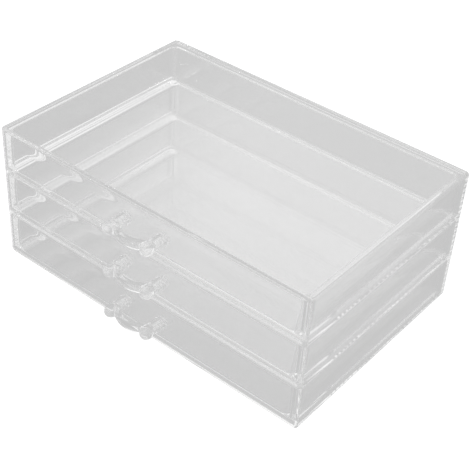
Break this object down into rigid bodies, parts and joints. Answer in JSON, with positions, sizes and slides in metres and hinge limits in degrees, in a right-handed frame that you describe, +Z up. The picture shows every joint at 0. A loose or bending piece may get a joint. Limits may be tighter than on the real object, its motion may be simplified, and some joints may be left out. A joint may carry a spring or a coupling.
{
  "type": "drawer organizer",
  "caption": "Low clear plastic organizer case with wide stacked drawers that slide out, each with a small bow handle between round knobs on its front.",
  "frame": {"origin": "centre of the case's bottom face, on the surface it stands on", "axes": "+X along the wide front, to the right as seen from the front; +Y from the front to the back, so the drawers open towards -Y; +Z up"},
  "size_m": [0.24, 0.179, 0.098],
  "materials": {
    "clear_case": "clear, polished",
    "clear_drawer": "clear, polished",
    "clear_handle": "clear, polished",
    "clear_screw": "clear, polished"
  },
  "bodies": {
    "case": {"case": "clear_case"},
    "bottom_drawer": {"drawer_bottom": "clear_drawer", "handle_bottom": "clear_handle", "handle_screw_bottom_left": "clear_screw", "handle_screw_bottom_right": "clear_screw"},
    "middle_drawer": {"drawer_middle": "clear_drawer", "handle_middle": "clear_handle", "handle_screw_middle_left": "clear_screw", "handle_screw_middle_right": "clear_screw"},
    "top_drawer": {"drawer_top": "clear_drawer", "handle_top": "clear_handle", "handle_screw_top_left": "clear_screw", "handle_screw_top_right": "clear_screw"}
  },
  "joints": [
    {"name": "bottom_drawer_slide", "type": "slide", "parent": "case", "child": "bottom_drawer", "axis": [0, -1, 0], "range_m": [0, 0.125]},
    {"name": "middle_drawer_slide", "type": "slide", "parent": "case", "child": "middle_drawer", "axis": [0, -1, 0], "range_m": [0, 0.125]},
    {"name": "top_drawer_slide", "type": "slide", "parent": "case", "child": "top_drawer", "axis": [0, -1, 0], "range_m": [0, 0.125]}
  ]
}
